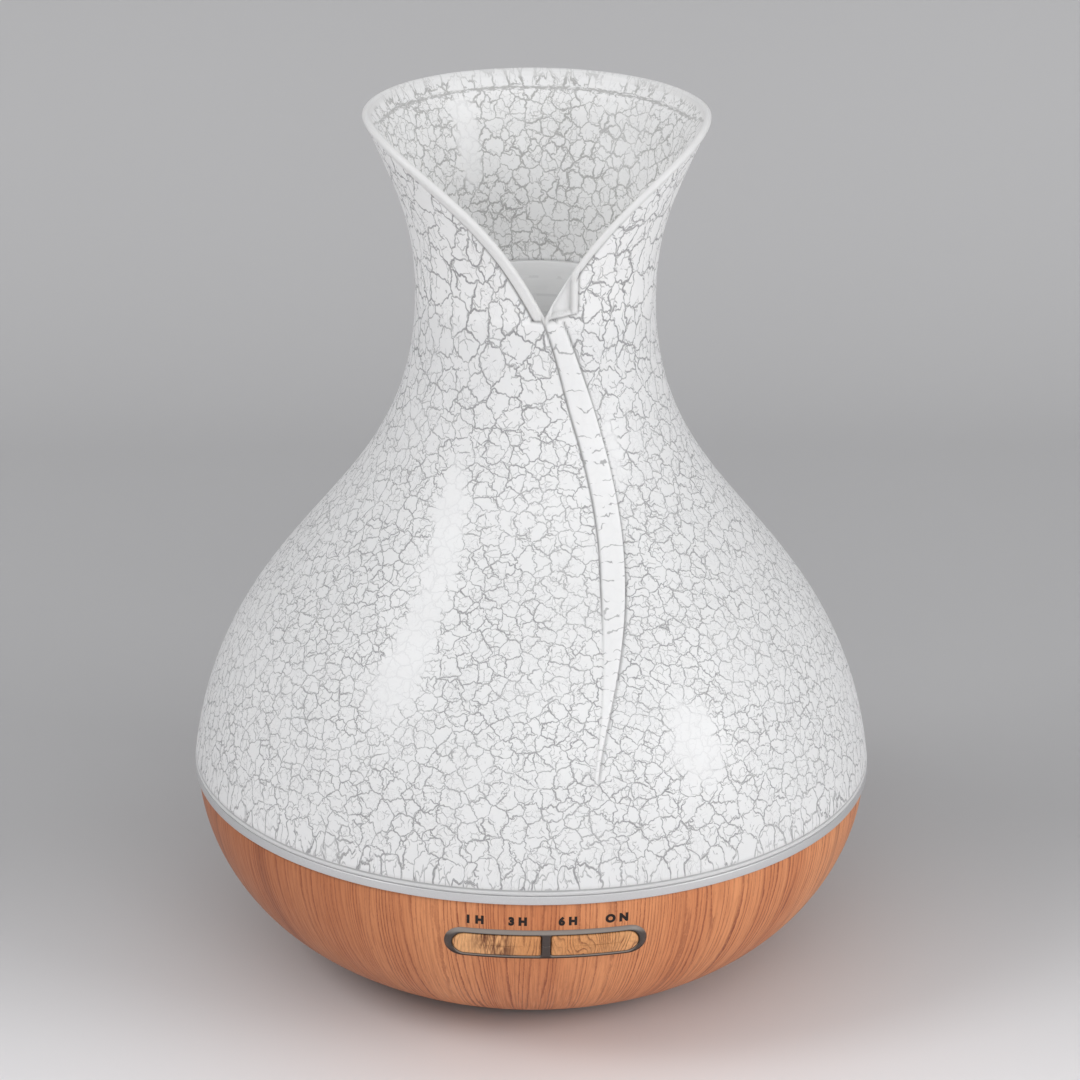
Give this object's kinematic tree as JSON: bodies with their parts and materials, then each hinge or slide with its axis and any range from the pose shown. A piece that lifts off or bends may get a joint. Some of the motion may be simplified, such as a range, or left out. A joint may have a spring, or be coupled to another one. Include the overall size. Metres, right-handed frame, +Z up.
{
  "type": "ultrasonic aroma diffuser",
  "caption": "Tabletop ultrasonic aroma diffuser: wood-look bowl base with two buttons, water tank, fan and mist unit, splash lid, and a lift-off vase cover with a V-wrap mouth.",
  "frame": {"origin": "on the vase's axis at table level, under the rubber feet", "axes": "+Z up along the vase's axis; the buttons and the open V of the collar face -Y, +X is the right side seen from the front"},
  "size_m": [0.168, 0.168, 0.2149],
  "materials": {
    "wood_print": "satin printed wood grain",
    "crackle_white": "white crackle paint, satin gloss",
    "satin_silver": "satin silver",
    "tank_white": "translucent white",
    "frosted_lid": "frosted translucent",
    "frosted_grey": "frosted grey",
    "dark_trim": "satin dark",
    "plate_grey": "textured",
    "foot_rubber": "matte",
    "screw_steel": "zinc plated",
    "piezo_metal": "nickel electrode",
    "silicone": "matte silicone",
    "clamp_plastic": "moulded",
    "red_wire": "insulated wire",
    "black_wire": "insulated wire",
    "yellow_wire": "insulated wire",
    "flat_cable": "flat cable",
    "circuit_board": "solder mask",
    "white_board": "white solder mask",
    "led_lens": "clear resin",
    "capacitor_can": "sleeved can",
    "copper_winding": "enamelled wire",
    "black_part": "moulded",
    "connector_nylon": "moulded nylon",
    "sink_aluminium": "extruded",
    "fan_black": "moulded",
    "bush_bronze": "sintered",
    "shaft_steel": "ground",
    "foam": "open-cell foam",
    "pin_brass": "polished"
  },
  "bodies": {
    "base": {"base_shell": "wood_print", "trim_ring": "satin_silver", "bottom_plate": "plate_grey", "rubber_feet": "foot_rubber", "bottom_screws": "screw_steel", "water_tank": "tank_white", "transducer_disc": "piezo_metal", "transducer_seal": "silicone", "transducer_clamp": "clamp_plastic", "clamp_screws": "screw_steel", "transducer_wires": "red_wire", "main_board": "circuit_board", "board_screws": "screw_steel", "capacitors": "capacitor_can", "coil": "copper_winding", "driver_chips": "black_part", "connectors": "connector_nylon", "heat_sink": "sink_aluminium", "fan_housing": "fan_black", "fan_stator": "copper_winding", "fan_bearing": "bush_bronze", "fan_screws": "screw_steel", "fan_gasket": "foam", "fan_wires": "black_wire", "led_boards": "white_board", "leds": "led_lens", "led_board_screws": "screw_steel", "led_wires": "yellow_wire", "control_board": "circuit_board", "control_board_screws": "screw_steel", "switch_bodies": "black_part", "timer_leds": "led_lens", "control_ribbon": "flat_cable", "button_bezel": "dark_trim", "dc_jack": "black_part", "dc_jack_pin": "pin_brass", "jack_wires": "red_wire"},
    "fan_rotor": {"fan_rotor": "fan_black", "fan_shaft": "shaft_steel"},
    "mist_button": {"mist_button": "wood_print", "mist_plunger": "black_part"},
    "light_button": {"light_button": "wood_print", "light_plunger": "black_part"},
    "inner_lid": {"inner_lid": "frosted_lid"},
    "cover": {"cover": "crackle_white", "neck_liner": "frosted_grey"}
  },
  "joints": [
    {"name": "fan_spin", "type": "hinge", "parent": "base", "child": "fan_rotor", "pos_m": [0.02, 0, 0.0115], "axis": [0, 0, 1], "continuous": true},
    {"name": "mist_button_press", "type": "slide", "parent": "base", "child": "mist_button", "axis": [0, 1, 0], "range_m": [0, 0.0006]},
    {"name": "light_button_press", "type": "slide", "parent": "base", "child": "light_button", "axis": [0, 1, 0], "range_m": [0, 0.0006]},
    {"name": "lid_lift", "type": "slide", "parent": "base", "child": "inner_lid", "axis": [0, 0, 1], "range_m": [0, 0.1]},
    {"name": "cover_lift", "type": "slide", "parent": "inner_lid", "child": "cover", "axis": [0, 0, 1], "range_m": [0, 0.2]}
  ]
}
